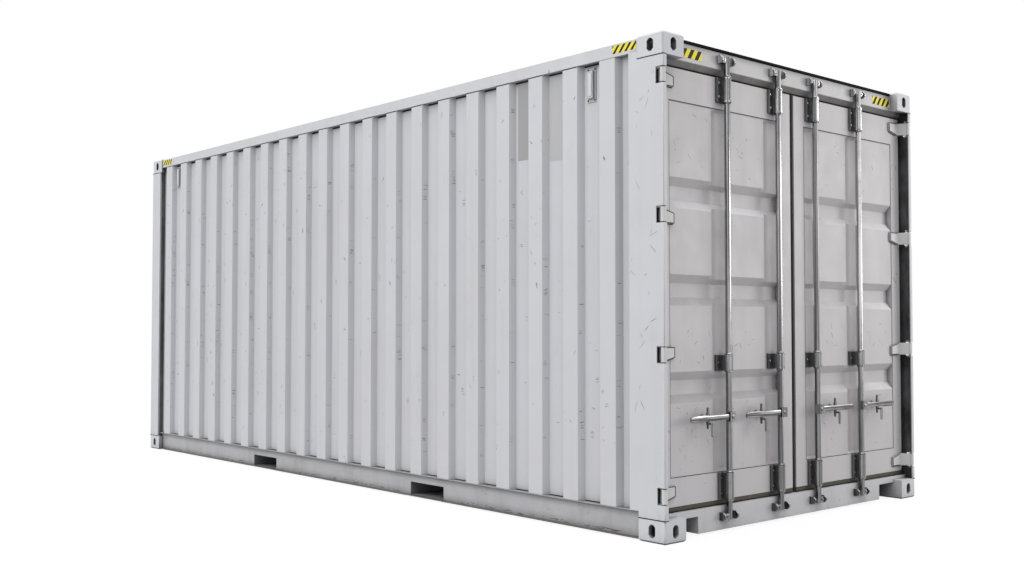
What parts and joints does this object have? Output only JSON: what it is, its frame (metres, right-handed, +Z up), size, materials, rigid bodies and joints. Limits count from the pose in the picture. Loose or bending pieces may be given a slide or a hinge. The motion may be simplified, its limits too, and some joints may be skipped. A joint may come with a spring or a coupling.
{
  "type": "freight_container",
  "caption": "Twenty-foot dry freight container in light grey, corrugated steel sides, two doors with lock rods",
  "frame": {"origin": "middle of the underside of the four bottom corner fittings", "axes": "+X along the length towards the door end, +Y to the right-hand side seen from the door end, +Z up"},
  "size_m": [6.058, 2.438, 2.591],
  "materials": {
    "shell_paint": "satin",
    "door_paint": "satin",
    "bare_steel": "satin",
    "dark_steel": "satin",
    "seal_rubber": "matte",
    "plywood": "satin",
    "vent_plastic": "matte"
  },
  "bodies": {
    "shell": {"corner_fittings_bottom": "shell_paint", "corner_fittings_top": "shell_paint", "door_post_left": "shell_paint", "door_post_right": "shell_paint", "hinge_pins": "bare_steel", "front_posts": "shell_paint", "top_side_rails": "shell_paint", "bottom_side_rail_left": "shell_paint", "bottom_side_rail_right": "shell_paint", "door_header": "shell_paint", "door_sill": "shell_paint", "front_rails": "shell_paint", "side_wall_left": "shell_paint", "side_wall_right": "shell_paint", "front_wall": "shell_paint", "roof_panel": "shell_paint", "floor": "plywood", "cross_members": "shell_paint", "fork_pockets": "shell_paint", "ventilators": "vent_plastic", "cam_keepers": "bare_steel"},
    "door_left": {"door_frame_left": "door_paint", "door_panel_left": "door_paint", "door_seal_left": "seal_rubber", "door_hinges_left": "door_paint", "rod_guides_left": "dark_steel", "handle_retainers_left": "dark_steel"},
    "rod_left_outer": {"lock_rod_left_outer": "bare_steel"},
    "handle_left_outer": {"handle_left_outer": "bare_steel"},
    "catch_left_outer": {"catch_left_outer": "bare_steel"},
    "rod_left_inner": {"lock_rod_left_inner": "bare_steel"},
    "handle_left_inner": {"handle_left_inner": "bare_steel"},
    "catch_left_inner": {"catch_left_inner": "bare_steel"},
    "door_right": {"door_frame_right": "door_paint", "door_panel_right": "door_paint", "door_seal_right": "seal_rubber", "door_hinges_right": "door_paint", "rod_guides_right": "dark_steel", "handle_retainers_right": "dark_steel"},
    "rod_right_outer": {"lock_rod_right_outer": "bare_steel"},
    "handle_right_outer": {"handle_right_outer": "bare_steel"},
    "catch_right_outer": {"catch_right_outer": "bare_steel"},
    "rod_right_inner": {"lock_rod_right_inner": "bare_steel"},
    "handle_right_inner": {"handle_right_inner": "bare_steel"},
    "catch_right_inner": {"catch_right_inner": "bare_steel"}
  },
  "joints": [
    {"name": "door_left_hinge", "type": "hinge", "parent": "shell", "child": "door_left", "pos_m": [3.014, -1.204, 1.303], "axis": [0, 0, -1], "range_deg": [0, 262]},
    {"name": "rod_left_outer_turn", "type": "hinge", "parent": "door_left", "child": "rod_left_outer", "pos_m": [2.992, -0.653, 0.61], "axis": [0, 0, -1], "range_deg": [-90, 0]},
    {"name": "handle_left_outer_lift", "type": "hinge", "parent": "rod_left_outer", "child": "handle_left_outer", "pos_m": [3.0125, -0.653, 0.61], "axis": [1, 0, 0], "range_deg": [-20, 0]},
    {"name": "catch_left_outer_swing", "type": "hinge", "parent": "door_left", "child": "catch_left_outer", "pos_m": [3.0235, -0.834, 0.579], "axis": [-1, 0, 0], "range_deg": [0, 180]},
    {"name": "rod_left_inner_turn", "type": "hinge", "parent": "door_left", "child": "rod_left_inner", "pos_m": [2.992, -0.184, 0.61], "axis": [0, 0, -1], "range_deg": [-90, 0]},
    {"name": "handle_left_inner_lift", "type": "hinge", "parent": "rod_left_inner", "child": "handle_left_inner", "pos_m": [3.0125, -0.184, 0.61], "axis": [1, 0, 0], "range_deg": [-20, 0]},
    {"name": "catch_left_inner_swing", "type": "hinge", "parent": "door_left", "child": "catch_left_inner", "pos_m": [3.0235, -0.365, 0.579], "axis": [-1, 0, 0], "range_deg": [0, 180]},
    {"name": "door_right_hinge", "type": "hinge", "parent": "shell", "child": "door_right", "pos_m": [3.014, 1.204, 1.303], "axis": [0, 0, 1], "range_deg": [0, 262]},
    {"name": "rod_right_outer_turn", "type": "hinge", "parent": "door_right", "child": "rod_right_outer", "pos_m": [2.992, 0.653, 0.61], "axis": [0, 0, 1], "range_deg": [-90, 0]},
    {"name": "handle_right_outer_lift", "type": "hinge", "parent": "rod_right_outer", "child": "handle_right_outer", "pos_m": [3.0125, 0.653, 0.61], "axis": [-1, 0, 0], "range_deg": [-20, 0]},
    {"name": "catch_right_outer_swing", "type": "hinge", "parent": "door_right", "child": "catch_right_outer", "pos_m": [3.0235, 0.834, 0.579], "axis": [1, 0, 0], "range_deg": [0, 180]},
    {"name": "rod_right_inner_turn", "type": "hinge", "parent": "door_right", "child": "rod_right_inner", "pos_m": [2.992, 0.184, 0.61], "axis": [0, 0, 1], "range_deg": [-90, 0]},
    {"name": "handle_right_inner_lift", "type": "hinge", "parent": "rod_right_inner", "child": "handle_right_inner", "pos_m": [3.0125, 0.184, 0.61], "axis": [-1, 0, 0], "range_deg": [-20, 0]},
    {"name": "catch_right_inner_swing", "type": "hinge", "parent": "door_right", "child": "catch_right_inner", "pos_m": [3.0235, 0.365, 0.579], "axis": [1, 0, 0], "range_deg": [0, 180]}
  ]
}
